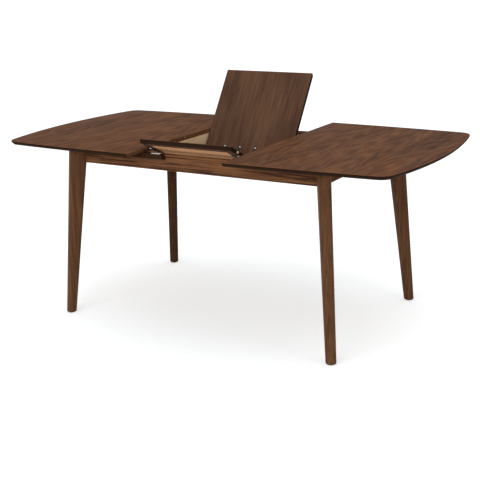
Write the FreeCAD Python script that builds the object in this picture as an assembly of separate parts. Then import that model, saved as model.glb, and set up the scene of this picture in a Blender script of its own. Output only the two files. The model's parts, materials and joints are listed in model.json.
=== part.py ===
import FreeCAD, Part
import math
import os

# Extending dining table with a butterfly leaf, drawn while the leaf is being unfolded.
# Origin on the floor under the middle, +X along the table, +Y to the back, +Z up.
# Lengths are millimetres and angles degrees.

# Table top
TABLE_HEIGHT = 750.0
TOP_THICKNESS = 16.0
TOP_WIDTH = 950.0
SIDE_TAPER = 25.0
HALF_LENGTH = 640.0
END_BOW = 54.0
CORNER_RADIUS = 55.0
EDGE_BEVEL = 9.0
EDGE_ROUND = 2.0

# Leaf and the gap that it fills
LEAF_LENGTH = 420.0
LEAF_GAP = 9.0
CLOSED_GAP = 0.5
LEAF_JOINT = 0.8

# Pose of the half-open leaf: slope of each half, place of the front edge
LEAF_TILT = 26.8
REAR_LEAN = 56.3
FRONT_RISE = 44.2
FRONT_SETBACK = 86.2

# Wooden alignment pins
PIN_DIAMETER = 9.0
PIN_PROUD = 6.0
PIN_BURIED = 20.0
PIN_CLEARANCE = 0.4
PIN_INNER = 64.0
PIN_INSET = 52.0

# Legs: how far the feet stand inside the closed top's corners and long sides, lean and section
FOOT_INSET_X = 14.0
FOOT_INSET_Y = 77.0
LEG_LEAN = 57.0
LEG_TOP_LENGTH = 75.0
LEG_TOP_WIDTH = 50.0
LEG_TOP_ROUND = 17.0
LEG_TURN = 33.0  # degrees between the blade and the table's width
LEG_FOOT_SIZE = 41.0
LEG_FOOT_ROUND = 18.5
FOOT_EASE = 3.0
GLIDE_DIAMETER = 26.0
GLIDE_HEIGHT = 3.0

# Aprons, corner blocks and cross rails
SLIDE_GAP = 4.0
APRON_HEIGHT = 70.0
APRON_THICKNESS = 20.0
APRON_INSET = 19.0
APRON_BEVEL = 13.0
MITRE_GAP = 7.0
BLOCK_REACH = 110.0
BLOCK_THICKNESS = 26.0
BLOCK_MARGIN = 4.0
RAIL_THICKNESS = 22.0
RAIL_CLEARANCE = 2.0
NOTCH_ROOM = 4.0

# Leg bolts
BOLT_DIAMETER = 8.0
BOLT_CLEARANCE = 0.4
BOLT_BURIED = 26.0
BOLT_MARGIN = 15.0
NUT_ACROSS = 13.0
NUT_HEIGHT = 6.5
WASHER_DIAMETER = 22.0
WASHER_THICKNESS = 1.6
BOLT_TAIL = 5.0

# Telescopic slides and the runners on the top
SLIDE_HEIGHT = 36.0
SLIDE_DEPTH = 14.0
SLIDE_MARGIN = 14.0
CHANNEL_DEPTH = 7.0
CHANNEL_WALL = 1.5
CHANNEL_LIP = 3.0
CHANNEL_START = 30.0
SLIDE_PLAY = 0.5
RUNNER_THICKNESS = 20.0
RUNNER_SETBACK = 6.0
RUNNER_END_ROOM = 10.0
RUNNER_LIFT = 2.0

# Bearers under the top that reach below the leaf
BEARER_HEIGHT = 25.0
BEARER_THICKNESS = 20.0
BEARER_GAP = 4.0
BEARER_PASS = 10.0
BEARER_HOLD = 200.0
LONG_REACH = 91.0
SHORT_REACH = 18.0
SHORT_HEIGHT = 14.0
BEARER_STEP = 4.0
NOSE_SLOPE = 14.0
WEAR_LENGTH = 40.0
WEAR_WIDTH = 16.0
WEAR_THICKNESS = 2.0
WEAR_SETBACK = 33.0

# Lift shaft that carries the leaf, its rollers, sloping guides and brackets
LIFT_PLACE = 215.0
LIFT_DROP = 38.0
SHAFT_DIAMETER = 10.0
RUNNING_CLEARANCE = 0.05
FACE_CLEARANCE = 0.5
ROLLER_DIAMETER = 14.0
ROLLER_CLEARANCE = 0.3
GUIDE_THICKNESS = 5.0
GUIDE_MARGIN = 12.0
GUIDE_SCREW_INSET = 6.0
COLLAR_DIAMETER = 18.0
COLLAR_LENGTH = 6.0
BRACKET_THICKNESS = 5.0
EYE_RADIUS = 10.0
BRACKET_FOOT_WIDTH = 34.0
BRACKET_FOOT_LENGTH = 54.0
BRACKET_FOOT_THICKNESS = 4.0

# Glides under the front half of the leaf: a steel strip and the button that rides on the bearer
STRIP_START = 72.0
STRIP_LENGTH = 28.0
STRIP_WIDTH = 24.0
STRIP_THICKNESS = 2.5
STRIP_INSET = 10.0
BUTTON_PLACE = 77.0
BUTTON_DIAMETER = 9.0
BUTTON_HEIGHT = 3.5

# Hinges let into the upper face of the leaf
HINGE_REACH = 12.0
HINGE_DEPTH = 3.2
HINGE_SPACING = 75.0
STRAP_WIDTH = 10.0
STRAP_RADIUS = 3.1
STRAP_REACH = 118.0
HINGE_PIN_DIAMETER = 3.6
HINGE_PIN_BURIED = 6.0
POCKET_CLEARANCE = 0.5

# Wood screws of the guide plates
SCREW_HEAD_DIAMETER = 6.5
SCREW_HEAD_HEIGHT = 2.0
SCREW_SHANK_DIAMETER = 4.0
SCREW_SHANK_LENGTH = 12.0

# Places worked out from the sizes above
TOLERANCE = 0.01
HALF_WIDTH = TOP_WIDTH / 2
LEAF_SIDE = LEAF_LENGTH / 2
INNER_EDGE = LEAF_SIDE + LEAF_GAP
UNDERSIDE = TABLE_HEIGHT - TOP_THICKNESS
MID_TOP = TABLE_HEIGHT - TOP_THICKNESS / 2
FRAME_TOP = UNDERSIDE - SLIDE_GAP
FRAME_BOTTOM = FRAME_TOP - APRON_HEIGHT
FOOT_X = HALF_LENGTH - FOOT_INSET_X
FOOT_Y = HALF_WIDTH - FOOT_INSET_Y
LEG_X = FOOT_X - LEG_LEAN
LEG_Y = FOOT_Y - LEG_LEAN
SIDE_INNER = LEG_Y - APRON_INSET - APRON_THICKNESS / 2
SIDE_OUTER = SIDE_INNER + APRON_THICKNESS
END_INNER = LEG_X - APRON_INSET - APRON_THICKNESS / 2
END_OUTER = END_INNER + APRON_THICKNESS
RAIL_FACE = LEAF_SIDE + PIN_PROUD + RAIL_CLEARANCE
SLIDE_TOP = FRAME_TOP - SLIDE_MARGIN
SLIDE_BOTTOM = SLIDE_TOP - SLIDE_HEIGHT
RUNNER_OUTER = SIDE_INNER - SLIDE_DEPTH
RUNNER_INNER = RUNNER_OUTER - RUNNER_THICKNESS
RUNNER_START = INNER_EDGE + RUNNER_SETBACK
RUNNER_END = END_INNER - BLOCK_REACH - RUNNER_END_ROOM
PIN_OUTER = HALF_WIDTH - PIN_INSET
LEFT_PIN_ROWS = (-PIN_INNER, PIN_OUTER)
LEAF_PIN_ROWS = (-PIN_OUTER, -PIN_INNER)
RIGHT_PIN_ROWS = (PIN_INNER, PIN_OUTER)
HINGE_ROWS = tuple(step * HINGE_SPACING for step in (-1.5, -0.5, 0.5, 1.5))
PIN_RADIUS = PIN_DIAMETER / 2
SOCKET_RADIUS = PIN_RADIUS + PIN_CLEARANCE
LEFT_BEARER = SIDE_OUTER + BEARER_GAP
RIGHT_BEARER = LEFT_BEARER + BEARER_THICKNESS + BEARER_PASS
BRACKET_OUTER = RAIL_FACE - GUIDE_THICKNESS - COLLAR_LENGTH - 2 * FACE_CLEARANCE
BRACKET_INNER = BRACKET_OUTER - BRACKET_THICKNESS

X_AXIS = FreeCAD.Vector(1, 0, 0)
Y_AXIS = FreeCAD.Vector(0, 1, 0)
Z_AXIS = FreeCAD.Vector(0, 0, 1)
CORNERS = {
    "front_left": (-1, -1),
    "front_right": (1, -1),
    "back_left": (-1, 1),
    "back_right": (1, 1),
}


def turned(point, angle):
    """A (y, z) offset turned about X, positive from +Y to +Z."""
    turn = math.radians(angle)
    y = point[0] * math.cos(turn) - point[1] * math.sin(turn)
    z = point[0] * math.sin(turn) + point[1] * math.cos(turn)
    return (y, z)


def plus(a, b):
    return (a[0] + b[0], a[1] + b[1])


def minus(a, b):
    return (a[0] - b[0], a[1] - b[1])


def heading(offset):
    return math.degrees(math.atan2(offset[1], offset[0]))


# Pivots of the leaf in (y, z), laid flat and as drawn
FLAT_FRONT_EDGE = (-HALF_WIDTH, TABLE_HEIGHT)
OPEN_FRONT_EDGE = plus(FLAT_FRONT_EDGE, (FRONT_SETBACK, FRONT_RISE))
FLAT_LIFT_PIN = plus(FLAT_FRONT_EDGE, (LIFT_PLACE, -LIFT_DROP))
LIFT_PIN = plus(OPEN_FRONT_EDGE, turned((LIFT_PLACE, -LIFT_DROP), -LEAF_TILT))
FLAT_HINGE = (-LEAF_JOINT / 2 - HINGE_REACH, TABLE_HEIGHT - HINGE_DEPTH)
HINGE = plus(LIFT_PIN, turned(minus(FLAT_HINGE, FLAT_LIFT_PIN), -LEAF_TILT))


def box(x, y, z):
    """A box from three (low, high) pairs, in either order."""
    low = FreeCAD.Vector(min(x), min(y), min(z))
    return Part.makeBox(abs(x[1] - x[0]), abs(y[1] - y[0]), abs(z[1] - z[0]), low)


def rod(radius, x, y, z):
    """A round bar along X between the two ends in x."""
    return Part.makeCylinder(radius, abs(x[1] - x[0]), FreeCAD.Vector(min(x), y, z), X_AXIS)


def prism(points, push):
    """A solid from a closed outline of points, pushed along a vector."""
    outline = Part.makePolygon(points + points[:1])
    return Part.Face(outline).extrude(push)


def other_side(shape):
    """The same shape at the other end of the table."""
    return shape.mirror(FreeCAD.Vector(0, 0, 0), X_AXIS)


def moved(shape, start, end, angle):
    """A leaf piece drawn flat, turned about its pivot and set where the pivot is now."""
    piece = shape.copy()
    piece.rotate(FreeCAD.Vector(0, start[0], start[1]), X_AXIS, angle)
    piece.translate(FreeCAD.Vector(0, end[0] - start[0], end[1] - start[1]))
    return piece


def on_front_leaf(shape):
    return moved(shape, FLAT_LIFT_PIN, LIFT_PIN, -LEAF_TILT)


def on_rear_leaf(shape):
    return moved(shape, FLAT_HINGE, HINGE, REAR_LEAN)


def level_edges(shape, height, plane_x):
    """The edges at one height, leaving out those in the plane x = plane_x."""
    found = []
    for edge in shape.Edges:
        bounds = edge.BoundBox
        level = abs(bounds.ZMin - height) < TOLERANCE and abs(bounds.ZMax - height) < TOLERANCE
        inner = abs(bounds.XMin - plane_x) < TOLERANCE and abs(bounds.XMax - plane_x) < TOLERANCE
        if level and not inner:
            found.append(edge)
    return found


# Fasteners
def wood_screw(tip_direction, seat):
    """A round-headed wood screw whose head sits on the point seat."""
    head = Part.makeCone(
        SCREW_HEAD_DIAMETER / 2, SCREW_SHANK_DIAMETER / 2, SCREW_HEAD_HEIGHT,
        seat, tip_direction * -1)
    shank = Part.makeCylinder(SCREW_SHANK_DIAMETER / 2, SCREW_SHANK_LENGTH, seat, tip_direction)
    return head.fuse(shank).removeSplitter()


# Table top halves
def plain_half():
    """The right half: straight inner edge, gently bowed sides and end, under-bevelled rim."""
    side_radius = (HALF_LENGTH ** 2 + SIDE_TAPER ** 2) / (2 * SIDE_TAPER)
    corner_x = INNER_EDGE + HALF_LENGTH
    corner_y = HALF_WIDTH - SIDE_TAPER
    middle_x = INNER_EDGE + HALF_LENGTH / 2
    middle_y = HALF_WIDTH - side_radius + math.sqrt(side_radius ** 2 - (HALF_LENGTH / 2) ** 2)

    def at(x, y):
        return FreeCAD.Vector(x, y, UNDERSIDE)

    back = Part.Arc(at(INNER_EDGE, HALF_WIDTH), at(middle_x, middle_y), at(corner_x, corner_y))
    end = Part.Arc(
        at(corner_x, corner_y), at(corner_x + END_BOW, 0), at(corner_x, -corner_y))
    front = Part.Arc(
        at(corner_x, -corner_y), at(middle_x, -middle_y), at(INNER_EDGE, -HALF_WIDTH))
    inner = Part.LineSegment(at(INNER_EDGE, -HALF_WIDTH), at(INNER_EDGE, HALF_WIDTH))
    outline = Part.Wire([curve.toShape() for curve in (back, end, front, inner)])
    slab = Part.Face(outline).extrude(Z_AXIS * TOP_THICKNESS)
    upright = [
        edge for edge in slab.Edges
        if edge.BoundBox.ZLength > TOP_THICKNESS / 2 and edge.BoundBox.XMin > corner_x - TOLERANCE
    ]
    slab = slab.makeFillet(CORNER_RADIUS, upright)
    slab = slab.makeChamfer(EDGE_BEVEL, level_edges(slab, UNDERSIDE, INNER_EDGE))
    return slab.makeFillet(EDGE_ROUND, level_edges(slab, TABLE_HEIGHT, INNER_EDGE))


def pins(inner_end, outer_end, rows):
    """Alignment pins along X, one in each row."""
    return [rod(PIN_RADIUS, (inner_end, outer_end), y, MID_TOP) for y in rows]


def left_panel():
    """The left half, with holes for its pins."""
    panel = other_side(plain_half())
    for hole in left_pins():
        panel = panel.cut(hole)
    return panel


def right_panel():
    """The right half, with holes for its own pins and sockets for the leaf's."""
    panel = plain_half()
    sockets = pin_sockets(INNER_EDGE, 1, LEAF_PIN_ROWS)
    for hole in right_pins() + sockets:
        panel = panel.cut(hole)
    return panel


def pin_sockets(face, inward, rows):
    """Sockets from an edge face at x = face, bored along X towards inward."""
    depth = PIN_PROUD + PIN_CLEARANCE
    return [rod(SOCKET_RADIUS, (face, face + inward * depth), y, MID_TOP) for y in rows]


def left_pins():
    return pins(PIN_PROUD - INNER_EDGE, -INNER_EDGE - PIN_BURIED, LEFT_PIN_ROWS)


def right_pins():
    return pins(INNER_EDGE - PIN_PROUD, INNER_EDGE + PIN_BURIED, RIGHT_PIN_ROWS)


def bearer(near, far, reach, height):
    """A bearer under the right half, with a stepped and sloped nose, between two y values."""
    tip = INNER_EDGE - reach
    bottom = UNDERSIDE - height
    nose_top = UNDERSIDE - BEARER_STEP
    outline = [
        (tip, bottom), (tip + NOSE_SLOPE, nose_top),
        (INNER_EDGE + CLOSED_GAP, nose_top), (INNER_EDGE + CLOSED_GAP, UNDERSIDE),
        (INNER_EDGE + BEARER_HOLD, UNDERSIDE), (INNER_EDGE + BEARER_HOLD, bottom),
    ]
    points = [FreeCAD.Vector(x, near, z) for x, z in outline]
    return prism(points, Y_AXIS * (far - near))


def wear_plate(middle):
    """The steel plate on a bearer's nose."""
    seat = UNDERSIDE - BEARER_STEP
    end = INNER_EDGE - WEAR_SETBACK
    across = (middle - WEAR_WIDTH / 2, middle + WEAR_WIDTH / 2)
    return box((end - WEAR_LENGTH, end), across, (seat, seat + WEAR_THICKNESS))


def runner(side):
    """The wooden runner under the right half, front (-1) or back (1)."""
    across = (side * RUNNER_INNER, side * RUNNER_OUTER)
    return box((RUNNER_START, RUNNER_END), across, (SLIDE_BOTTOM + RUNNER_LIFT, UNDERSIDE))


def slide_channel(side):
    """The fixed lipped channel of a right-hand slide, on the apron's inner face."""
    back = SIDE_INNER
    mouth = SIDE_INNER - CHANNEL_DEPTH
    wall = CHANNEL_WALL
    outline = [
        (back, SLIDE_BOTTOM), (back, SLIDE_TOP), (mouth, SLIDE_TOP),
        (mouth, SLIDE_TOP - CHANNEL_LIP), (mouth + wall, SLIDE_TOP - CHANNEL_LIP),
        (mouth + wall, SLIDE_TOP - wall), (back - wall, SLIDE_TOP - wall),
        (back - wall, SLIDE_BOTTOM + wall), (mouth + wall, SLIDE_BOTTOM + wall),
        (mouth + wall, SLIDE_BOTTOM + CHANNEL_LIP), (mouth, SLIDE_BOTTOM + CHANNEL_LIP),
        (mouth, SLIDE_BOTTOM),
    ]
    points = [FreeCAD.Vector(CHANNEL_START, side * y, z) for y, z in outline]
    return prism(points, X_AXIS * (RUNNER_END - CHANNEL_START))


def slide_member(side):
    """The moving member of a right-hand slide, its head inside the channel."""
    head_back = SIDE_INNER - CHANNEL_WALL - SLIDE_PLAY
    head_front = SIDE_INNER - CHANNEL_DEPTH + CHANNEL_WALL + SLIDE_PLAY
    rim = CHANNEL_WALL + SLIDE_PLAY
    neck = CHANNEL_LIP + SLIDE_PLAY
    outline = [
        (head_back, SLIDE_BOTTOM + rim), (head_back, SLIDE_TOP - rim),
        (head_front, SLIDE_TOP - rim), (head_front, SLIDE_TOP - neck),
        (RUNNER_OUTER, SLIDE_TOP - neck), (RUNNER_OUTER, SLIDE_BOTTOM + neck),
        (head_front, SLIDE_BOTTOM + neck), (head_front, SLIDE_BOTTOM + rim),
    ]
    points = [FreeCAD.Vector(RUNNER_START, side * y, z) for y, z in outline]
    return prism(points, X_AXIS * (RUNNER_END - RUNNER_START))


# Legs and frame
def leg_section(corner, height, length, width, rounding):
    """A rounded blade section, its long side turned outwards by LEG_TURN."""
    lean = LEG_LEAN * (1 - (height - GLIDE_HEIGHT) / (FRAME_TOP - GLIDE_HEIGHT))
    turn = math.radians(LEG_TURN)
    along = FreeCAD.Vector(corner[0] * math.sin(turn), corner[1] * math.cos(turn), 0)
    across = FreeCAD.Vector(-along.y, along.x, 0)
    middle = FreeCAD.Vector(corner[0] * (LEG_X + lean), corner[1] * (LEG_Y + lean), height)
    a = length / 2
    b = width / 2
    bite = rounding * (1 - math.sqrt(0.5))

    def at(u, v):
        return middle + along * u + across * v

    edges = []
    for su, sv in ((1, 1), (-1, 1), (-1, -1), (1, -1)):
        ends = [at(su * a, sv * (b - rounding)), at(su * (a - rounding), sv * b)]
        if su != sv:
            ends.reverse()
        edges.append((ends[0], at(su * (a - bite), sv * (b - bite)), ends[1]))
    curves = []
    for index, (start, mid, end) in enumerate(edges):
        curves.append(Part.Arc(start, mid, end).toShape())
        curves.append(Part.makeLine(end, edges[(index + 1) % 4][0]))
    return Part.Wire(curves)


def plain_leg(corner):
    foot = LEG_FOOT_SIZE
    eased = foot - 2 * FOOT_EASE
    sections = [
        leg_section(corner, GLIDE_HEIGHT, eased, eased, LEG_FOOT_ROUND - FOOT_EASE),
        leg_section(corner, GLIDE_HEIGHT + FOOT_EASE, foot, foot, LEG_FOOT_ROUND),
        leg_section(corner, FRAME_TOP, LEG_TOP_LENGTH, LEG_TOP_WIDTH, LEG_TOP_ROUND),
    ]
    return Part.makeLoft(sections, True, True)


def corner_frame(corner):
    """The inner corner of the aprons and the direction from it towards the middle."""
    point = FreeCAD.Vector(corner[0] * END_INNER, corner[1] * SIDE_INNER, 0)
    inward = FreeCAD.Vector(-corner[0], -corner[1], 0).normalize()
    return point, inward


def bolt_heights():
    return (FRAME_BOTTOM + BOLT_MARGIN, FRAME_TOP - BOLT_MARGIN)


def bolt_face():
    """Distance from the inner corner of the aprons to the corner block's inner face."""
    return BLOCK_REACH / math.sqrt(2)


def leg_bolt(corner, height):
    point, inward = corner_frame(corner)
    tail = WASHER_THICKNESS + NUT_HEIGHT + BOLT_TAIL
    start = point - inward * BOLT_BURIED
    start.z = height
    return Part.makeCylinder(
        BOLT_DIAMETER / 2, BOLT_BURIED + bolt_face() + tail, start, inward)


def leg_nut(corner, height):
    """A washer and a hexagon nut on the corner block's inner face."""
    point, inward = corner_frame(corner)
    seat = point + inward * bolt_face()
    seat.z = height
    washer = Part.makeCylinder(WASHER_DIAMETER / 2, WASHER_THICKNESS, seat, inward)
    sideways = inward.cross(Z_AXIS)
    radius = NUT_ACROSS / math.sqrt(3)
    middle = seat + inward * WASHER_THICKNESS
    points = []
    for step in range(6):
        turn = math.radians(60 * step)
        points.append(middle + sideways * radius * math.cos(turn) + Z_AXIS * radius * math.sin(turn))
    nut = washer.fuse(prism(points, inward * NUT_HEIGHT))
    hole = Part.makeCylinder(BOLT_DIAMETER / 2, WASHER_THICKNESS + NUT_HEIGHT, seat, inward)
    return nut.cut(hole)


def leg(corner):
    shape = plain_leg(corner)
    for height in bolt_heights():
        shape = shape.cut(leg_bolt(corner, height))
    return shape


def foot_glide(corner):
    middle = FreeCAD.Vector(corner[0] * FOOT_X, corner[1] * FOOT_Y, 0)
    return Part.makeCylinder(GLIDE_DIAMETER / 2, GLIDE_HEIGHT, middle)


def between_legs(points):
    """A board with mitred ends from its plan, cut to the legs that it meets."""
    outline = [FreeCAD.Vector(x, y, FRAME_BOTTOM) for x, y in points]
    board = prism(outline, Z_AXIS * APRON_HEIGHT)
    for corner in CORNERS.values():
        board = board.cut(plain_leg(corner))
    return max(board.Solids, key=lambda solid: solid.Volume)


def long_apron(side):
    """The front (-1) or back (1) apron, its inner top edge bevelled to let the leaf swing past."""
    inner = END_INNER - MITRE_GAP
    outer = END_OUTER - MITRE_GAP
    board = between_legs([
        (-inner, side * SIDE_INNER), (inner, side * SIDE_INNER),
        (outer, side * SIDE_OUTER), (-outer, side * SIDE_OUTER),
    ])
    bevel = [
        (SIDE_INNER, FRAME_TOP), (SIDE_INNER + APRON_BEVEL, FRAME_TOP),
        (SIDE_INNER, FRAME_TOP - APRON_BEVEL),
    ]
    points = [FreeCAD.Vector(-outer, side * y, z) for y, z in bevel]
    return board.cut(prism(points, X_AXIS * 2 * outer))


def end_apron(end):
    inner = SIDE_INNER - MITRE_GAP
    outer = SIDE_OUTER - MITRE_GAP
    return between_legs([
        (end * END_INNER, -inner), (end * END_INNER, inner),
        (end * END_OUTER, outer), (end * END_OUTER, -outer),
    ])


def corner_block(corner):
    """A diagonal block that ties two aprons together and takes the leg's bolts."""
    point, inward = corner_frame(corner)
    near = BLOCK_REACH - BLOCK_THICKNESS * math.sqrt(2)
    bottom = FRAME_BOTTOM + BLOCK_MARGIN
    steps = ((near, 0), (BLOCK_REACH, 0), (0, BLOCK_REACH), (0, near))
    points = [
        FreeCAD.Vector(point.x - corner[0] * x, point.y - corner[1] * y, bottom) for x, y in steps
    ]
    block = prism(points, Z_AXIS * (APRON_HEIGHT - 2 * BLOCK_MARGIN))
    for height in bolt_heights():
        start = FreeCAD.Vector(point.x, point.y, height)
        hole = Part.makeCylinder(BOLT_DIAMETER / 2 + BOLT_CLEARANCE, bolt_face(), start, inward)
        block = block.cut(hole)
    return block


def cross_rail():
    """The right rail between the long aprons, notched at both ends for the slides."""
    along = (RAIL_FACE, RAIL_FACE + RAIL_THICKNESS)
    rail = box(along, (-SIDE_INNER, SIDE_INNER), (FRAME_BOTTOM, FRAME_TOP))
    for side in (-1, 1):
        across = (side * (RUNNER_INNER - NOTCH_ROOM), side * SIDE_INNER)
        rail = rail.cut(box(along, across, (SLIDE_BOTTOM - NOTCH_ROOM, FRAME_TOP)))
    for screw in guide_screws():
        rail = rail.cut(screw)
    return rail


# Lift guides
def guide_plate():
    """The plate on the right cross rail whose sloping slot guides the lift shaft's roller."""
    x = (RAIL_FACE - GUIDE_THICKNESS, RAIL_FACE)
    low_y, high_y = sorted((LIFT_PIN[0], FLAT_LIFT_PIN[0]))
    low_z, high_z = sorted((LIFT_PIN[1], FLAT_LIFT_PIN[1]))
    plate = box(
        x, (low_y - GUIDE_MARGIN, high_y + GUIDE_MARGIN), (low_z - GUIDE_MARGIN, high_z + GUIDE_MARGIN))
    slot = bar(ROLLER_DIAMETER / 2 + ROLLER_CLEARANCE, x, LIFT_PIN, FLAT_LIFT_PIN)
    plate = plate.cut(slot)
    for screw in guide_screws():
        plate = plate.cut(screw)
    return plate


def guide_screws():
    """The two screws of the right guide plate, in the corners that the slot leaves free."""
    seat_x = RAIL_FACE - GUIDE_THICKNESS
    low = FreeCAD.Vector(seat_x, FLAT_LIFT_PIN[0], LIFT_PIN[1] + GUIDE_SCREW_INSET)
    high = FreeCAD.Vector(seat_x, LIFT_PIN[0], FLAT_LIFT_PIN[1] - GUIDE_SCREW_INSET)
    return [wood_screw(X_AXIS, seat) for seat in (low, high)]


def bar(radius, x, start, end):
    """A flat bar with round ends between two (y, z) points, its thickness along X."""
    span = minus(end, start)
    length = math.hypot(*span)
    ends = rod(radius, x, *start).fuse(rod(radius, x, *end))
    middle = box(x, (start[0], start[0] + length), (start[1] - radius, start[1] + radius))
    middle.rotate(FreeCAD.Vector(0, start[0], start[1]), X_AXIS, heading(span))
    return ends.fuse(middle).removeSplitter()


def lift_shaft():
    end = RAIL_FACE - FACE_CLEARANCE
    return rod(SHAFT_DIAMETER / 2, (-end, end), *LIFT_PIN)


def sleeve(radius, x):
    """A ring on the lift shaft."""
    return rod(radius, x, *LIFT_PIN).cut(rod(SHAFT_DIAMETER / 2, x, *LIFT_PIN))


def guide_roller():
    """The right-hand roller, inside the guide plate's slot."""
    return sleeve(ROLLER_DIAMETER / 2, (RAIL_FACE - GUIDE_THICKNESS, RAIL_FACE - FACE_CLEARANCE))


def shaft_collar():
    """The right-hand collar that keeps the leaf's bracket in its place along the shaft."""
    outer = RAIL_FACE - GUIDE_THICKNESS - FACE_CLEARANCE
    return sleeve(COLLAR_DIAMETER / 2, (outer - COLLAR_LENGTH, outer))


# Leaf, drawn flat
def plain_leaf_half(side):
    """The front (-1) or rear (1) half of the leaf, with its outer edge bevelled and rounded."""
    rim = side * HALF_WIDTH
    panel = box(
        (-LEAF_SIDE, LEAF_SIDE), (side * LEAF_JOINT / 2, rim), (UNDERSIDE, TABLE_HEIGHT))

    def rim_edges(shape, height):
        return [
            edge for edge in level_edges(shape, height, LEAF_SIDE)
            if abs(edge.BoundBox.YMin - rim) < TOLERANCE and abs(edge.BoundBox.YMax - rim) < TOLERANCE
        ]

    panel = panel.makeChamfer(EDGE_BEVEL, rim_edges(panel, UNDERSIDE))
    return panel.makeFillet(EDGE_ROUND, rim_edges(panel, TABLE_HEIGHT))


def leaf_half(side):
    """A leaf half with its pin holes, sockets and hinge pockets."""
    panel = plain_leaf_half(side)
    cuts = pin_sockets(-LEAF_SIDE, 1, [y for y in LEFT_PIN_ROWS if y * side > 0])
    if side < 0:
        cuts += leaf_pins() + hinge_pins()
        cuts += [hinge_pocket(x) for x in HINGE_ROWS]
    else:
        cuts += pin_sockets(LEAF_SIDE, -1, RIGHT_PIN_ROWS)
        cuts += [hinge_recess(x) for x in HINGE_ROWS]
    for cut in cuts:
        panel = panel.cut(cut)
    return panel


def leaf_pins():
    """The pins in the front half's right edge."""
    return pins(LEAF_SIDE - PIN_BURIED, LEAF_SIDE + PIN_PROUD, LEAF_PIN_ROWS)


def hinge_pocket(x):
    """The pocket in the front half that a hinge strap's eye swings in."""
    half = STRAP_WIDTH / 2 + POCKET_CLEARANCE
    room = STRAP_RADIUS + POCKET_CLEARANCE
    across = (-LEAF_JOINT / 2, FLAT_HINGE[0] - room)
    return box((x - half, x + half), across, (FLAT_HINGE[1] - room, TABLE_HEIGHT))


def hinge_recess(x):
    """The recess in the rear half that a hinge strap lies in."""
    half = STRAP_WIDTH / 2
    height = (FLAT_HINGE[1] - STRAP_RADIUS, TABLE_HEIGHT)
    return box((x - half, x + half), (LEAF_JOINT / 2, STRAP_REACH), height)


def hinge_pins():
    half = STRAP_WIDTH / 2 + POCKET_CLEARANCE + HINGE_PIN_BURIED
    return [rod(HINGE_PIN_DIAMETER / 2, (x - half, x + half), *FLAT_HINGE) for x in HINGE_ROWS]


def hinge_strap(x):
    """A strap let into the rear half, its eye on the pin in the front half."""
    ends = (x - STRAP_WIDTH / 2, x + STRAP_WIDTH / 2)
    strap = rod(STRAP_RADIUS, ends, *FLAT_HINGE)
    height = (FLAT_HINGE[1] - STRAP_RADIUS, FLAT_HINGE[1] + STRAP_RADIUS)
    strap = strap.fuse(box(ends, (FLAT_HINGE[0], STRAP_REACH), height))
    strap = strap.cut(rod(HINGE_PIN_DIAMETER / 2 + RUNNING_CLEARANCE, ends, *FLAT_HINGE))
    return strap.removeSplitter()


def lift_bracket():
    """The right-hand angle bracket under the front half that turns on the lift shaft."""
    y, z = FLAT_LIFT_PIN
    flange = (BRACKET_INNER, BRACKET_OUTER)
    foot = (BRACKET_OUTER - BRACKET_FOOT_WIDTH, BRACKET_OUTER)
    bracket = rod(EYE_RADIUS, flange, y, z)
    bracket = bracket.fuse(box(flange, (y - EYE_RADIUS, y + EYE_RADIUS), (z, UNDERSIDE)))
    across = (y - BRACKET_FOOT_LENGTH / 2, y + BRACKET_FOOT_LENGTH / 2)
    bracket = bracket.fuse(box(foot, across, (UNDERSIDE - BRACKET_FOOT_THICKNESS, UNDERSIDE)))
    return bracket.cut(rod(SHAFT_DIAMETER / 2 + RUNNING_CLEARANCE, flange, y, z)).removeSplitter()


def leaf_glide():
    """The right-hand steel strip under the front half, beside its button."""
    outer = LEAF_SIDE - STRIP_INSET
    start = STRIP_START - HALF_WIDTH
    return box(
        (outer - STRIP_WIDTH, outer), (start, start + STRIP_LENGTH),
        (UNDERSIDE - STRIP_THICKNESS, UNDERSIDE))


def glide_button():
    """The right-hand button under the front half, at the edge that lies on the bearer."""
    radius = BUTTON_DIAMETER / 2
    seat = FreeCAD.Vector(LEAF_SIDE - radius, BUTTON_PLACE - HALF_WIDTH, UNDERSIDE)
    return Part.makeCylinder(radius, BUTTON_HEIGHT, seat, Z_AXIS * -1)


# Groups and nodes
def both_ends(shapes):
    """Right-hand shapes and their mirror images as one group."""
    return Part.makeCompound(shapes + [other_side(shape) for shape in shapes])


def every_corner(make):
    return Part.makeCompound([make(corner) for corner in CORNERS.values()])


def every_bolt(make):
    return Part.makeCompound(
        [make(corner, height) for corner in CORNERS.values() for height in bolt_heights()])


def frame_pieces():
    pieces = {}
    for name, corner in CORNERS.items():
        pieces["leg_" + name] = leg(corner)
        pieces["corner_block_" + name] = corner_block(corner)
    pieces["foot_glides"] = every_corner(foot_glide)
    pieces["leg_bolts"] = every_bolt(leg_bolt)
    pieces["leg_nuts"] = every_bolt(leg_nut)
    for name, side in (("front", -1), ("back", 1)):
        pieces["apron_" + name] = long_apron(side)
        pieces["slide_channel_" + name + "_right"] = slide_channel(side)
        pieces["slide_channel_" + name + "_left"] = other_side(slide_channel(side))
    pieces["apron_right"] = end_apron(1)
    pieces["apron_left"] = end_apron(-1)
    pieces["cross_rail_right"] = cross_rail()
    pieces["cross_rail_left"] = other_side(cross_rail())
    pieces["guide_plate_right"] = guide_plate()
    pieces["guide_plate_left"] = other_side(guide_plate())
    pieces["guide_screws"] = both_ends(guide_screws())
    return pieces


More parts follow.
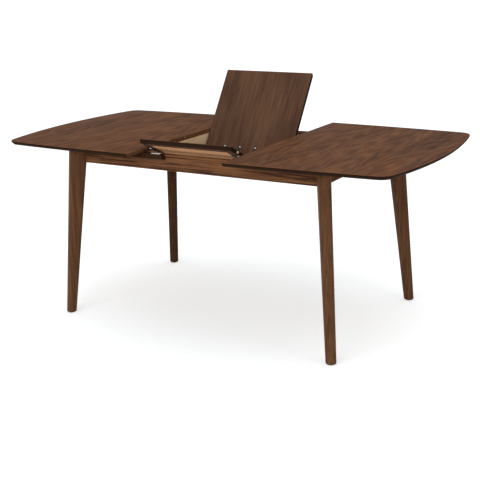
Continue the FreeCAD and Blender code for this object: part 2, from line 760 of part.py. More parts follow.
def top_pieces():
    pieces = {
        "top_left": left_panel(),
        "top_right": right_panel(),
        "top_left_pins": Part.makeCompound(left_pins()),
        "top_right_pins": Part.makeCompound(right_pins()),
    }
    plates = []
    for name, side in (("front", -1), ("back", 1)):
        inner = side * LEFT_BEARER
        outer = side * RIGHT_BEARER
        breadth = side * BEARER_THICKNESS
        pieces["bearer_left_" + name] = other_side(
            bearer(inner, inner + breadth, LONG_REACH, BEARER_HEIGHT))
        pieces["bearer_right_" + name] = bearer(outer, outer + breadth, SHORT_REACH, SHORT_HEIGHT)
        plates.append(other_side(wear_plate(inner + breadth / 2)))
        pieces["runner_right_" + name] = runner(side)
        pieces["runner_left_" + name] = other_side(runner(side))
        pieces["slide_member_right_" + name] = slide_member(side)
        pieces["slide_member_left_" + name] = other_side(slide_member(side))
    pieces["wear_plates"] = Part.makeCompound(plates)
    return pieces


def leaf_pieces():
    return {
        "lift_shaft": lift_shaft(),
        "guide_rollers": both_ends([guide_roller()]),
        "shaft_collars": both_ends([shaft_collar()]),
        "leaf_front": on_front_leaf(leaf_half(-1)),
        "leaf_front_pins": on_front_leaf(Part.makeCompound(leaf_pins())),
        "hinge_pins": on_front_leaf(Part.makeCompound(hinge_pins())),
        "lift_bracket_right": on_front_leaf(lift_bracket()),
        "lift_bracket_left": on_front_leaf(other_side(lift_bracket())),
        "leaf_glide_right": on_front_leaf(leaf_glide()),
        "leaf_glide_left": on_front_leaf(other_side(leaf_glide())),
        "glide_buttons": on_front_leaf(both_ends([glide_button()])),
        "leaf_rear": on_rear_leaf(leaf_half(1)),
        "hinge_straps": on_rear_leaf(Part.makeCompound([hinge_strap(x) for x in HINGE_ROWS])),
    }


def all_pieces():
    pieces = frame_pieces()
    pieces.update(top_pieces())
    pieces.update(leaf_pieces())
    return pieces


if __name__ == "__main__":
    os.makedirs("parts", exist_ok=True)
    for node, shape in all_pieces().items():
        shape.exportStep("parts/" + node + ".step")
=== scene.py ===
"""Extending dining table with a butterfly leaf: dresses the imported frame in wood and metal."""

import json
import math

import bmesh
import bpy
from mathutils import Matrix, Vector

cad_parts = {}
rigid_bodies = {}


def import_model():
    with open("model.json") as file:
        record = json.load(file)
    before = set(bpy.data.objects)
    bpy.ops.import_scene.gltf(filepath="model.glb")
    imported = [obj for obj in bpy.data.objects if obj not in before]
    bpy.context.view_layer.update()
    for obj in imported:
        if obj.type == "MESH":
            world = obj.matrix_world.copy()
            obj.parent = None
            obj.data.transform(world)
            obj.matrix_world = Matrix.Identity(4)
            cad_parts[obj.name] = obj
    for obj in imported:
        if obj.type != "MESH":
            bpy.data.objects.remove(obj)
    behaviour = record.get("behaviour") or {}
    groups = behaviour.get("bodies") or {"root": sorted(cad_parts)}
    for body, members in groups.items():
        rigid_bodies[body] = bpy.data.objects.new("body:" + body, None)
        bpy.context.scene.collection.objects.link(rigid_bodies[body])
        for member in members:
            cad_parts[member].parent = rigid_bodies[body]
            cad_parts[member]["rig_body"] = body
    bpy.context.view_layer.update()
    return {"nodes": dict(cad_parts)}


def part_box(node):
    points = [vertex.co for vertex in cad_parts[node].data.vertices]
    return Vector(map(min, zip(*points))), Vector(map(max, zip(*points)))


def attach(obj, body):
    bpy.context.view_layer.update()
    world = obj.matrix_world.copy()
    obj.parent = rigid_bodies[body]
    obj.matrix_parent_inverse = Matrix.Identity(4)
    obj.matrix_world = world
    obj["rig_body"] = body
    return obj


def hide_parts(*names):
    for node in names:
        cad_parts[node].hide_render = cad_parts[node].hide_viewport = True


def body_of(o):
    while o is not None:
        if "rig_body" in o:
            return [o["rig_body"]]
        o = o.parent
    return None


bl_info = {
    "name": "Extending dining table",
    "version": (1, 0, 0),
    "blender": (4, 5, 0),
    "location": "View3D > Sidebar > Table",
    "description": "Dresses the packed dining table and sets its stage",
    "category": "Object",
}

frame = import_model()
MM = 0.001

ENDS = ("left", "right")
SIDES = ("front", "back")
CORNERS = tuple(side + "_" + end for side in SIDES for end in ENDS)
NODE_BODY = {name: body_of(node)[0] for name, node in frame["nodes"].items()}
X_AXIS, Y_AXIS, Z_AXIS = Vector((1, 0, 0)), Vector((0, 1, 0)), Vector((0, 0, 1))


def linear(hex_colour):
    """An sRGB hex value such as 6B4A35 as linear red, green, blue and alpha."""
    channels = []
    for start in (0, 2, 4):
        value = int(hex_colour[start:start + 2], 16) / 255
        channels.append(value / 12.92 if value <= 0.04045 else ((value + 0.055) / 1.055) ** 2.4)
    return (*channels, 1.0)


def colour(name, description, hex_colour):
    """A colour that a user can change."""
    return bpy.props.FloatVectorProperty(
        name=name, description=description, subtype="COLOR", size=4, min=0.0, max=1.0,
        default=linear(hex_colour))


def length(name, description, millimetres):
    """A length that a user can change."""
    return bpy.props.FloatProperty(
        name=name, description=description, unit="LENGTH", min=0.0, default=millimetres * MM)


def power(name, description, watts):
    """A lamp's power that a user can change."""
    return bpy.props.FloatProperty(
        name=name, description=description, unit="POWER", min=0.0, default=watts)


class TableFinishes(bpy.types.PropertyGroup):
    """Colours of the woods and metals."""
    walnut_light: colour("Walnut, light", "Early wood of the stained walnut", "865A3C")
    walnut_mid: colour("Walnut, middle", "Main tone of the stained walnut", "66432F")
    walnut_dark: colour("Walnut, dark", "Late wood and dark streaks of the stained walnut", "3E2718")
    end_grain: colour("Walnut, end grain", "Cut ends and rims, which take up more stain", "261810")
    bearer: colour("Bearer stain", "Dark stain of the bearers", "382316")
    backing: colour("Backing", "Unstained wood on the underside of the top and leaf", "EBB286")
    backing_dark: colour("Backing, streaks", "Streaks in the unstained wood", "D69A6C")
    beech: colour("Raw beech", "Main tone of the raw wood", "E0BF98")
    beech_fleck: colour("Beech flecks", "Ray flecks and lines in the raw wood", "B08C62")
    pin_stain: colour("Pin stain", "Stain on the alignment pins of the top", "7A5638")
    zinc: colour("Zinc-plated steel", "Bright plated hardware", "D0D2D4")
    coating: colour("Zinc-flake coating", "Pale wear plates and glide buttons", "F2F2F2")
    black: colour("Black-painted steel", "Paint on brackets, guides and hinges", "141415")
    nylon: colour("Black nylon", "Foot glides and rollers", "202022")


class TableSizes(bpy.types.PropertyGroup):
    """Sizes of the details that the solids leave out."""
    wood_ease: length("Eased wood edge", "Sanded arris of the aprons, rails and other solid wood", 1.0)
    panel_ease: length("Eased panel edge", "Sanded arris of the top and leaf", 0.5)
    metal_ease: length("Eased metal edge", "Rounded edge of the steel and nylon pieces", 0.4)
    hinge_ease: length("Eased hinge edge", "Rounded edge of the hinge straps and pins", 0.2)
    plank_width: length("Plank width", "Width of the staves glued up into the top", 120.0)
    ring_spacing: length("Ring spacing", "Distance between growth rings, drawn wide so that they show", 15.0)
    lip_width: length("Lipping", "Width of the stained border on the leaf's underside", 35.0)
    screw_head: length("Screw head", "Diameter of the wood screws' heads", 8.0)
    screw_rise: length("Screw head rise", "How far a wood screw's head stands proud", 1.4)
    small_head: length("Small screw head", "Diameter of the plate screws' heads", 6.0)
    flush_rise: length("Flush head rise", "How far a plate screw's head stands proud", 0.4)
    bracket_rise: length("Bracket head rise", "How far a bracket screw's head stands proud", 0.8)


class TableStage(bpy.types.PropertyGroup):
    """Camera, lamps and floor."""
    focal_length: bpy.props.FloatProperty(
        name="Focal length", description="Camera lens in millimetres on a 36 mm sensor",
        unit="CAMERA", default=73.39, min=10.0)
    camera_place: bpy.props.FloatVectorProperty(
        name="Camera place", description="Where the camera stands", subtype="TRANSLATION",
        unit="LENGTH", default=(2.090, -3.4719, 1.488))
    camera_turn: bpy.props.FloatVectorProperty(
        name="Camera turn", description="Yaw, pitch and roll of the view", subtype="EULER",
        unit="ROTATION", default=(math.radians(-31.0), math.radians(16.3), math.radians(-1.57)))
    camera_rise: bpy.props.FloatProperty(
        name="Camera shift", description="Vertical shift of the picture", default=-0.0015)
    floor_size: length("Floor size", "Side of the square floor", 60000.0)
    floor_colour: colour("Floor", "Paper of the floor, cool against the warm light off the wood", "D8DEE1")
    overhead_power: power("Overhead lamp", "Power of the large overhead lamp", 10.0)
    front_power: power("Front lamp", "Power of the wide lamp in front of the table", 95.0)
    side_power: power("Side lamp", "Power of the lamp at the right", 22.0)
    room_light: bpy.props.FloatProperty(
        name="Room light", description="Strength of the even light from all round",
        default=0.64, min=0.0)


# Materials. Kinds of node that come up often:
MATHS = "ShaderNodeMath"
VECTORS = "ShaderNodeVectorMath"
NOISE = "ShaderNodeTexNoise"
MIX = "ShaderNodeMix"
RANGE = "ShaderNodeMapRange"
ATTRIBUTE = "ShaderNodeAttribute"

# Mapping turns that lay grain which runs along X, Y or Z along a board's own X
QUARTER = math.pi / 2
GRAIN_X = (0.0, 0.0, 0.0)
GRAIN_Y = (0.0, 0.0, -QUARTER)
GRAIN_Z = (0.0, QUARTER, 0.0)

# Layers of a wood's figure: waves a metre along the grain and across it, and detail.
# Fibres are under 1 mm wide in the real wood and are drawn 5 mm wide so that they show.
# Pores are about 0.2 mm wide and are drawn 1 mm wide.
STREAK_ALONG, STREAK_DETAIL = 1.8, 5.0
FIBRE_NOISE = (8.0, 210.0, 3.0)
CLOUD_NOISE = (2.6, 9.0, 2.0)
PORE_NOISE = (50.0, 900.0, 2.0)
HEART_NOISE = (1.4, 5.0, 3.0)
WAVER_NOISE = (4.0, 26.0, 3.0)
FIGURE_ROUGHNESS = 0.6

# Staves
WHOLE_BOARD = -1.0  # number of the only stave in a board that isn't glued up
STAVE_STEP = 1.37  # step between the random draws of two staves
LOG_SPREAD = (9.0, 9.0, 9.0)  # metres of figure that staves are drawn from
STAVE_TONES = 0.08  # how much their tones differ

# The heart of the log, which the rings go round
HEART_STRAY = 0.22  # metres that it strays sideways
HEART_SLOPE = 0.09  # rise along the board
HEART_HEIGHT = 0.06  # metres that it runs over the face at most, where it starts
RING_WAVER = 5.0  # radians that the rings waver

# Faces and pores
BACKING_STREAKS = 1.6  # contrast of the streaks in the unstained wood
EDGE_WEAR_AND_HIGHLIGHT = 0.7  # share of the light tone on a panel's upper arris: partly wear, partly a painted highlight
PORE_FULL, PORE_NONE = -0.22, -0.08  # noise at which a pore is open and at which it is closed
PORE_SHADE = 0.78  # brightness in an open pore
PORE_RELIEF = 0.12  # strength of the pores' bump
PORE_DEPTH = 0.4 * MM

# Plated, painted and moulded skins
SKIN_CLOUDS = 60.0  # waves a metre of the clouding
SKIN_PALE, SKIN_DULL = 1.12, 0.86  # shares of the colour that it reaches
GLOSS_SPREAD = 0.08  # how far the roughness goes up and down with it
GRIT_DEPTH = 0.3 * MM

# How strongly each layer shows on each kind of board. A shade gives its tone, as shares of the
# walnut's red, green and blue. The back left leg is painted darker, as painted shade for the
# shadow that it stands in under the table.
TOP_FIGURE = {
    "shade": (0.93, 0.92, 0.88), "rings": 0.07, "streaks": 0.5, "streak_rate": 44.0,
    "fibres": 0.8, "clouds": 0.5}
LEAF_FIGURE = {
    "shade": (0.77, 0.92, 1.1), "streaks": 0.22, "streak_rate": 60.0, "fibres": 0.55, "clouds": 0.55}
LEG_FIGURE = {
    "streaks": 0.8, "streak_rate": 110.0, "clouds": 0.3, "roughness": (0.4, 0.5), "specular": 0.04}
LEG_SHADE = (0.85, 0.9, 0.84)
PAINTED_SHADE_LEG_TONE = (0.5, 0.51, 0.47)
APRON_FIGURE = {
    "shade": (0.9, 0.91, 0.88), "streaks": 2.3, "streak_rate": 170.0, "fibres": 1.6, "clouds": 0.8,
    "specular": 0.05}

# Lays the figure of the raw rails and runners at their height
BELOW_TOP = (0.0, 0.0, -0.7)


def feed(tree, node, feeds):
    """Sets inputs of a node, each from a value, from an output, or from another node's first output."""
    for key, value in feeds.items():
        if isinstance(value, bpy.types.Node):
            value = next(output for output in value.outputs if output.enabled)
        if isinstance(value, bpy.types.NodeSocket):
            tree.links.new(value, node.inputs[key])
        else:
            node.inputs[key].default_value = value


def add(tree, kind, feeds=None, **settings):
    """Adds one node with its settings and feeds its inputs."""
    made = tree.nodes.new(kind)
    for key, value in settings.items():
        setattr(made, key, value)
    feed(tree, made, feeds or {})
    return made


def blank_material(name):
    """A new material with a Principled shader; returns the material, its tree and the shader."""
    material = bpy.data.materials.new(name)
    material.use_nodes = True
    tree = material.node_tree
    return material, tree, tree.nodes["Principled BSDF"]


def set_ramp(ramp, stops):
    """Sets a colour ramp from (place, colour) pairs."""
    elements = ramp.color_ramp.elements
    while len(elements) < len(stops):
        elements.new(0.5)
    for element, (place, value) in zip(elements, stops):
        element.position = place
        element.color = value


def grain_noise(tree, log_place, along_rate, across_rate, detail):
    """Noise between -0.5 and 0.5, with so many waves a metre along and across the grain."""
    rates = (along_rate, across_rate, across_rate)
    place = add(tree, VECTORS, {0: log_place, 1: rates}, operation="MULTIPLY")
    noise = add(tree, NOISE, {
        "Vector": place, "Scale": 1.0, "Detail": detail, "Roughness": FIGURE_ROUGHNESS})
    return add(tree, MATHS, {0: noise, 1: 0.5}, operation="SUBTRACT")


def ring_waves(tree, board_place, log_place, stave, luck, plank):
    """Growth rings, as waves from -1 to 1, round a heart that runs at a slant over each stave."""
    along, across, depth = board_place
    shifted = add(tree, MATHS, {0: stave, 1: luck[0]}, operation="ADD")
    beside = add(tree, MATHS, {0: shifted, 1: -plank, 2: across}, operation="MULTIPLY_ADD")
    stray = grain_noise(tree, log_place, *HEART_NOISE)
    beside = add(tree, MATHS, {0: stray, 1: HEART_STRAY, 2: beside}, operation="MULTIPLY_ADD")
    further = add(tree, MATHS, {0: along, 1: luck[1]}, operation="ADD")
    slant = add(tree, MATHS, {0: further, 1: HEART_SLOPE}, operation="MULTIPLY")
    below = add(tree, MATHS, {0: luck[2], 1: HEART_HEIGHT, 2: slant}, operation="MULTIPLY_ADD")
    below = add(tree, MATHS, {0: below, 1: depth}, operation="SUBTRACT")
    offset = add(tree, "ShaderNodeCombineXYZ", {"X": beside, "Y": below})
    radius = add(tree, VECTORS, {0: offset}, operation="LENGTH")
    noise = grain_noise(tree, log_place, *WAVER_NOISE)
    waver = add(tree, MATHS, {0: noise, 1: RING_WAVER}, operation="MULTIPLY")
    rate = 2 * math.pi / bpy.context.scene.table_sizes.ring_spacing
    phase = add(tree, MATHS, {0: radius, 1: rate, 2: waver}, operation="MULTIPLY_ADD")
    return add(tree, MATHS, {0: phase}, operation="SINE")


def stained_faces(tree, face, streak, stops, end_colour, backing):
    """Colours the faces that face_marks has marked: unstained undersides, dark ends, and upper edges
    lightened as wear and as a painted highlight.
    """
    if backing:
        under = add(tree, ATTRIBUTE, attribute_name="under_face").outputs["Fac"]
        share = add(tree, MATHS, {0: streak, 1: BACKING_STREAKS, 2: 0.5}, operation="MULTIPLY_ADD")
        raw = add(tree, MIX, {"Factor": share, "A": backing[0], "B": backing[1]}, data_type="RGBA")
        face = add(tree, MIX, {"Factor": under, "A": face, "B": raw}, data_type="RGBA")
    cut = add(tree, ATTRIBUTE, attribute_name="end_grain").outputs["Fac"]
    face = add(tree, MIX, {"Factor": cut, "A": face, "B": end_colour}, data_type="RGBA")
    # The upper arris takes the light tone: partly wear, partly a painted highlight along the edge
    if backing:
        rubbed_and_lit = add(tree, ATTRIBUTE, attribute_name="worn_edge").outputs["Fac"]
        wear = add(tree, MATHS, {0: rubbed_and_lit, 1: EDGE_WEAR_AND_HIGHLIGHT}, operation="MULTIPLY")
        face = add(tree, MIX, {"Factor": wear, "A": face, "B": stops[-1][1]}, data_type="RGBA")
    return face


def wood(name, stops, end_colour, turn, shift=(0.0, 0.0, 0.0), seed=0.0, plank=0.0, rings=0.0,
         streaks=0.5, streak_rate=32.0, fibres=0.4, clouds=0.4, backing=None,
         roughness=(0.6, 0.75), specular=0.03):
    """A board: growth rings cut at a slant, streaks and fibres along the grain, darker cut ends.

    turn and shift lay the board's grain along X, its face at Z = 0. plank splits the board into
    glued staves of that width. rings, streaks, fibres and clouds say how strongly each shows, and
    streak_rate how many streaks there are in a metre across the grain.
    """
    material, tree, shader = blank_material(name)
    place = add(tree, "ShaderNodeTexCoord").outputs["Object"]
    board = add(tree, "ShaderNodeMapping", {"Vector": place, "Rotation": turn, "Location": shift})
    board_place = add(tree, "ShaderNodeSeparateXYZ", {0: board}).outputs
    stave = WHOLE_BOARD
    if plank:
        width = add(tree, MATHS, {0: board_place["Y"], 1: plank}, operation="DIVIDE")
        stave = add(tree, MATHS, {0: width}, operation="FLOOR")

    # Each stave is cut from its own place in the log
    ticket = add(tree, MATHS, {0: stave, 1: STAVE_STEP, 2: seed}, operation="MULTIPLY_ADD")
    chance = add(tree, "ShaderNodeTexWhiteNoise", {"W": ticket}, noise_dimensions="1D").outputs["Color"]
    luck = add(tree, "ShaderNodeSeparateXYZ", {0: chance}).outputs
    log_place = add(tree, VECTORS, {0: chance, 1: LOG_SPREAD, 2: board}, operation="MULTIPLY_ADD")

    streak = grain_noise(tree, log_place, STREAK_ALONG, streak_rate, STREAK_DETAIL)
    fibre = grain_noise(tree, log_place, *FIBRE_NOISE)
    cloud = grain_noise(tree, log_place, *CLOUD_NOISE)
    layers = [(streak, streaks), (fibre, fibres), (cloud, clouds), (luck[1], STAVE_TONES)]
    if rings:
        layers.append((ring_waves(tree, board_place, log_place, stave, luck, plank), rings))
    tone = 0.5 - STAVE_TONES / 2
    for layer, strength in layers:
        tone = add(tree, MATHS, {0: layer, 1: strength, 2: tone}, operation="MULTIPLY_ADD")
    ramp = add(tree, "ShaderNodeValToRGB", {"Fac": tone})
    set_ramp(ramp, stops)
    face = stained_faces(tree, ramp, streak, stops, end_colour, backing)

    pores = add(tree, RANGE, {
        "Value": grain_noise(tree, log_place, *PORE_NOISE), "From Min": PORE_FULL, "From Max": PORE_NONE,
        "To Min": PORE_SHADE, "To Max": 1.0})
    shaded = add(tree, MIX, {"Factor": 1.0, "A": face, "B": pores}, data_type="RGBA", blend_type="MULTIPLY")
    sheen = add(tree, RANGE, {
        "Value": fibre, "From Min": -0.5, "From Max": 0.5, "To Min": roughness[0], "To Max": roughness[1]})
    relief = add(tree, "ShaderNodeBump", {"Height": pores, "Strength": PORE_RELIEF, "Distance": PORE_DEPTH})
    feed(tree, shader, {
        "Base Color": shaded, "Roughness": sheen, "Specular IOR Level": specular, "Normal": relief})
    return material


def walnut(name, turn, shade, **options):
    """Stained and oiled walnut: brown heartwood with dark streaks, nearly matt."""
    finish = bpy.context.scene.table_finishes
    tones = ((0.22, finish.walnut_dark), (0.5, finish.walnut_mid), (0.8, finish.walnut_light))
    stops = [
        (place, tuple(channel * share for channel, share in zip(tone, shade)) + (1.0,))
        for place, tone in tones]
    return wood(name, stops, finish.end_grain, turn, **options)


def beech(name, turn, **options):
    """Raw sanded beech: pale, even and matt, with short darker flecks."""
    finish = bpy.context.scene.table_finishes
    stops = [(0.30, finish.beech_fleck), (0.52, finish.beech), (0.80, finish.beech)]
    return wood(name, stops, finish.beech_fleck, turn, specular=0.3, **options)


def stained_beech(name, stain, seed):
    """Beech under an opaque stain: one tone, in which only the pores show."""
    return wood(name, [(0.2, stain), (0.8, stain)], stain, GRAIN_X, seed=seed)


def even_skin(name, base, roughness, grit, metallic=0.0, bump=0.03, specular=0.5):
    """A plated, painted, coated or moulded skin: an even colour, slight clouding and a fine grit.

    The grit is about 0.1 mm in the real skins and is drawn about 1 mm wide so that it shows. Pieces
    share the material: it is made the first time that it is asked for.
    """
    if name in bpy.data.materials:
        return bpy.data.materials[name]
    material, tree, shader = blank_material(name)
    place = add(tree, "ShaderNodeTexCoord").outputs["Object"]
    cloud = add(tree, NOISE, {"Vector": place, "Scale": SKIN_CLOUDS, "Detail": 3.0})
    fine = add(tree, NOISE, {"Vector": place, "Scale": 1 / grit, "Detail": 2.0})
    pale = tuple(min(1.0, channel * SKIN_PALE) for channel in base[:3]) + (1.0,)
    dull = tuple(channel * SKIN_DULL for channel in base[:3]) + (1.0,)
    mixed = add(tree, MIX, {"Factor": cloud, "A": dull, "B": pale}, data_type="RGBA")
    rough = add(tree, RANGE, {
        "Value": cloud, "To Min": roughness - GLOSS_SPREAD, "To Max": roughness + GLOSS_SPREAD})
    relief = add(tree, "ShaderNodeBump", {"Height": fine, "Strength": bump, "Distance": GRIT_DEPTH})
    feed(tree, shader, {
        "Base Color": mixed, "Roughness": rough, "Metallic": metallic,
        "Specular IOR Level": specular, "Normal": relief})
    return material


def zinc_steel():
    """Zinc-plated steel: bright, slightly cloudy grey metal."""
    base = bpy.context.scene.table_finishes.zinc
    return even_skin("zinc_plated_steel", base, roughness=0.3, grit=0.9 * MM, metallic=1.0)


def coated_steel():
    """Zinc-flake coated steel: an opaque, pale satin film that hides most of the metal's gloss."""
    base = bpy.context.scene.table_finishes.coating
    return even_skin("zinc_flake_steel", base, roughness=0.35, grit=0.9 * MM, metallic=0.1)


def black_steel():
    """Powder-painted steel: near black, half matt, with an orange-peel skin."""
    base = bpy.context.scene.table_finishes.black
    return even_skin(
        "black_painted_steel", base, roughness=0.5, grit=1.2 * MM, bump=0.15, specular=0.2)


def nylon():
    """Moulded black nylon: dark, matt and slightly waxy."""
    base = bpy.context.scene.table_finishes.nylon
    return even_skin("moulded_nylon", base, roughness=0.55, grit=1.0 * MM, bump=0.08)


# Pieces. A face's turn is given as the cosine between its normal and a direction.
END_GRAIN_STARTS, END_GRAIN_FULL = 0.45, 0.75
RIM_STARTS, RIM_FULL = 0.8, 0.7
SEAM_FACING = 0.9
PANEL_FACING = 0.97
ARRIS_STARTS = 0.25
PANEL_UPWARD = 0.05
FLAT_FACING = 0.995

MERGE_DISTANCE = 0.002 * MM
FLAT_ANGLE = math.radians(0.3)
EASED_ANGLE = math.radians(38)
SHARP_ANGLE = math.radians(34)


def share_between(value, start, full):
    """How far a value has gone from start to full, kept between 0 and 1."""
    return min(1.0, max(0.0, (value - start) / (full - start)))


def face_marks(mesh, grain, up, seam):
    """Marks the faces that take the dark stain, those under a panel, and its upper arris, which is lightened
    as wear and as a painted highlight.

    End grain soaks up the stain, and so does the sanded rim of a panel. The straight edge that looks
    along seam was cut after staining and keeps the colour of the face.
    """
    marks = ("end_grain", "under_face", "worn_edge")
    for mark in marks:
        mesh.attributes.new(mark, "FLOAT", "FACE")
    cut, under, worn_and_lit = (mesh.attributes[mark].data for mark in marks)
    for index, polygon in enumerate(mesh.polygons):
        dark = share_between(abs(polygon.normal.dot(grain)), END_GRAIN_STARTS, END_GRAIN_FULL)
        if up:
            rise = polygon.normal.dot(up)
            if not (seam and polygon.normal.dot(seam) > SEAM_FACING):
                dark = max(dark, share_between(abs(rise), RIM_STARTS, RIM_FULL))
            under[index].value = float(rise < -PANEL_FACING)
            # Upper arris faces: lightened as wear and as a painted highlight
            worn_and_lit[index].value = float(ARRIS_STARTS < rise < PANEL_FACING)
        cut[index].value = dark


def merged(node):
    """A CAD node's triangles, joined where they meet."""
    shape = bmesh.new()
    shape.from_mesh(frame["nodes"][node].data)
    bmesh.ops.remove_doubles(shape, verts=shape.verts, dist=MERGE_DISTANCE)
    return shape


def baked(made):
    """Turns an object's modifiers into plain mesh."""
    graph = bpy.context.evaluated_depsgraph_get()
    mesh = bpy.data.meshes.new_from_object(made.evaluated_get(graph))
    made.modifiers.clear()
    old = made.data
    made.data = mesh
    bpy.data.meshes.remove(old)
    mesh.name = made.name


def dressed(node, material, ease=0.0, grain=None, up=None, seam=None):
    """A copy of a CAD node with eased edges and its finish, which stands for the node."""
    piece = node + "_dressed"
    mesh = bpy.data.meshes.new(piece)
    shape = merged(node)
    bmesh.ops.dissolve_limit(shape, angle_limit=FLAT_ANGLE, verts=shape.verts, edges=shape.edges)
    shape.to_mesh(mesh)
    shape.free()
    made = bpy.data.objects.new(piece, mesh)
    bpy.context.scene.collection.objects.link(made)
    if ease:
        bevel = made.modifiers.new("eased", "BEVEL")
        bevel.width = ease
        bevel.segments = 2
        bevel.limit_method = "ANGLE"
        bevel.angle_limit = EASED_ANGLE
        bevel.use_clamp_overlap = True
        baked(made)
    mesh = made.data
    mesh.polygons.foreach_set("use_smooth", [True] * len(mesh.polygons))
    mesh.set_sharp_from_angle(angle=SHARP_ANGLE)
    if grain:
        face_marks(mesh, Vector(grain).normalized(), up, seam)
    mesh.materials.append(material)
    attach(made, NODE_BODY[node])
    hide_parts(node)
    return made


def panel_frame(node):
    """The upper normal of a flat panel and the slope direction that points to the back."""
    areas = {}
    for polygon in frame["nodes"][node].data.polygons:
        normal = polygon.normal
        if normal.z > PANEL_UPWARD:
            key = tuple(round(value, 3) for value in normal)
            areas[key] = areas.get(key, 0.0) + polygon.area
    normal = Vector(max(areas, key=areas.get)).normalized()
    return normal, Vector((0.0, normal.z, -normal.y))


def panel(node, title, figure, seed, seam=None):
    """A dressed panel of glued walnut staves with an unstained underside; grain runs front to back."""
    sizes = bpy.context.scene.table_sizes
    finish = bpy.context.scene.table_finishes
    normal, slope = panel_frame(node)
    tilt = math.atan2(-normal.y, normal.z)
    height = max(vertex.co.dot(normal) for vertex in frame["nodes"][node].data.vertices)
    material = walnut(
        title, (-tilt, 0.0, -QUARTER), shift=(0.0, 0.0, -height), seed=seed, plank=sizes.plank_width,
        backing=(finish.backing, finish.backing_dark), **figure)
    made = dressed(node, material, sizes.panel_ease, grain=slope, up=normal, seam=seam)
    return made, slope


class TABLE_OT_top_halves(bpy.types.Operator):
    """Makes the two halves of the top in glued walnut staves"""
    bl_idname = "table.top_halves"
    bl_label = "Top halves"

    def execute(self, context):
        for end, seed, seam in (("left", 3.0, X_AXIS), ("right", 7.0, -X_AXIS)):
            panel("top_" + end, "walnut_top_" + end, TOP_FIGURE, seed, seam)
        return {"FINISHED"}


class TABLE_OT_leaf(bpy.types.Operator):
    """Makes the two halves of the leaf in straight-grained walnut"""
    bl_idname = "table.leaf"
    bl_label = "Leaf"

    def execute(self, context):
        width = context.scene.table_sizes.lip_width
        for node, seed, outward in (("leaf_front", 11.0, -1.0), ("leaf_rear", 14.0, 1.0)):
            made, slope = panel(node, "walnut_" + node, LEAF_FIGURE, seed)
            self.lipping(made.data, width, (-X_AXIS, X_AXIS, slope * outward))
        return {"FINISHED"}

    def lipping(self, mesh, width, headings):
        """Stains a border of the underside along the edges that look along the headings."""
        shape = bmesh.new()
        shape.from_mesh(mesh)
        for heading in headings:
            limit = max(vertex.co.dot(heading) for vertex in shape.verts) - width
            bmesh.ops.bisect_plane(
                shape, geom=shape.verts[:] + shape.edges[:] + shape.faces[:],
                plane_co=heading * limit, plane_no=heading)
            under = shape.faces.layers.float["under_face"]
            for face in shape.faces:
                if face.calc_center_median().dot(heading) > limit:
                    face[under] = 0.0
        shape.to_mesh(mesh)
        shape.free()


class TABLE_OT_legs(bpy.types.Operator):
    """Makes the four legs in solid walnut, with their glides"""
    bl_idname = "table.legs"
    bl_label = "Legs"

    def execute(self, context):
        for corner, seed in zip(CORNERS, (21.0, 22.0, 23.0, 24.0)):
            low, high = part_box("leg_" + corner)
            middle = (low + high) / 2
            # The back left leg takes a darker tone: painted shade for the shadow it stands in
            material = walnut(
                "walnut_leg_" + corner, GRAIN_Z, shift=(0.0, -middle.y, middle.x), seed=seed,
                shade=PAINTED_SHADE_LEG_TONE if corner == "back_left" else LEG_SHADE, **LEG_FIGURE)
            dressed("leg_" + corner, material, grain=Z_AXIS)
        dressed("foot_glides", nylon(), context.scene.table_sizes.metal_ease)
        return {"FINISHED"}


class TABLE_OT_aprons(bpy.types.Operator):
    """Makes the four aprons in solid walnut"""
    bl_idname = "table.aprons"
    bl_label = "Aprons"

    def execute(self, context):
        ease = context.scene.table_sizes.wood_ease
        for name, turn, grain, seed in (
                ("front", GRAIN_X, X_AXIS, 35.0), ("back", GRAIN_X, X_AXIS, 36.0),
                ("left", GRAIN_Y, Y_AXIS, 37.0), ("right", GRAIN_Y, Y_AXIS, 38.0)):
            low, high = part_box("apron_" + name)
            middle = (low + high) / 2
            across = -middle.y if turn == GRAIN_X else middle.x
            material = walnut(
                "walnut_apron_" + name, turn, shift=(0.0, across, -middle.z), seed=seed, **APRON_FIGURE)
            dressed("apron_" + name, material, ease, grain=grain)
        return {"FINISHED"}


class TABLE_OT_frame_blocks(bpy.types.Operator):
    """Makes the cross rails and corner blocks in raw beech, with the leg bolts"""
    bl_idname = "table.frame_blocks"
    bl_label = "Rails and blocks"

    def execute(self, context):
        sizes = context.scene.table_sizes
        rail = beech("raw_beech_rail", GRAIN_Y, seed=41.0, shift=BELOW_TOP)
        for end in ENDS:
            dressed("cross_rail_" + end, rail, sizes.wood_ease, grain=Y_AXIS)
        eighth = QUARTER / 2
        falling = beech("raw_beech_block_falling", (0.0, 0.0, eighth), seed=42.0)
        rising = beech("raw_beech_block_rising", (0.0, 0.0, -eighth), seed=44.0)
        for corner in CORNERS:
            block, grain = rising, (1, 1, 0)
            if corner in ("front_left", "back_right"):
                block, grain = falling, (1, -1, 0)
            dressed("corner_block_" + corner, block, sizes.wood_ease, grain=grain)
        for node in ("leg_bolts", "leg_nuts"):
            dressed(node, zinc_steel(), sizes.metal_ease)
        return {"FINISHED"}


class TABLE_OT_bearers(bpy.types.Operator):
    """Makes the bearers and runners under the top, with the wear plates"""
    bl_idname = "table.bearers"
    bl_label = "Bearers and runners"

    def execute(self, context):
        sizes = context.scene.table_sizes
        bearer = stained_beech("stained_beech_bearer", context.scene.table_finishes.bearer, seed=51.0)
        runner = beech("raw_beech_runner", GRAIN_X, seed=53.0, shift=BELOW_TOP)
        for end in ENDS:
            for side in SIDES:
                place = end + "_" + side
                dressed("bearer_" + place, bearer, sizes.wood_ease, grain=X_AXIS)
                dressed("runner_" + place, runner, sizes.wood_ease, grain=X_AXIS)
        dressed("wear_plates", coated_steel(), sizes.metal_ease)
        return {"FINISHED"}


